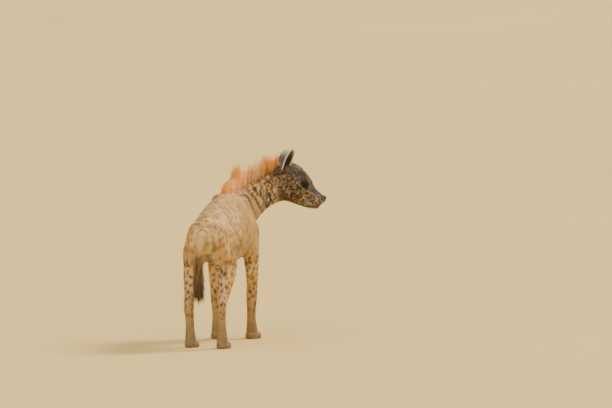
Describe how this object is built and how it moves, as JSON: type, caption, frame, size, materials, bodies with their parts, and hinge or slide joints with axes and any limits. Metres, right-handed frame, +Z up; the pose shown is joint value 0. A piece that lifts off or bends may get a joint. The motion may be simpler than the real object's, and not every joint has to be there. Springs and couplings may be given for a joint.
{
  "type": "spotted hyena",
  "caption": "Still, life-size standing spotted hyena with sloping back, erect mane and head turned over its right shoulder.",
  "frame": {"origin": "on the floor, under the middle of the animal's bounding box", "axes": "+X is where the trunk faces, +Y is the animal's left side, +Z is up"},
  "size_m": [1.211, 0.566, 0.9844],
  "materials": {
    "sandy_coat": "short sandy fur with faint reddish-brown spots",
    "neck_and_mane": "short spotted fur under a coarse orange mane",
    "head_coat": "very short grey-brown fur",
    "nose_leather": "bare dark pebbled skin, slightly damp",
    "ear_skin": "thin dark ears with pale hair on the rims",
    "eye_glass": "glossy dark brown model eye",
    "leg_coat": "short tan fur with brown spots",
    "foot_coat": "short dark brown fur and dull claws",
    "tail_coat": "short fur ending in a coarse black-brown brush"
  },
  "bodies": {
    "root": {"torso": "sandy_coat", "neck": "neck_and_mane", "head": "head_coat", "nose": "nose_leather", "ear_left": "ear_skin", "ear_right": "ear_skin", "eye_left": "eye_glass", "eye_right": "eye_glass", "foreleg_left": "leg_coat", "foreleg_right": "leg_coat", "hindleg_left": "leg_coat", "hindleg_right": "leg_coat", "forepaw_left": "foot_coat", "forepaw_right": "foot_coat", "hindpaw_left": "foot_coat", "hindpaw_right": "foot_coat", "tail": "tail_coat"}
  },
  "joints": []
}
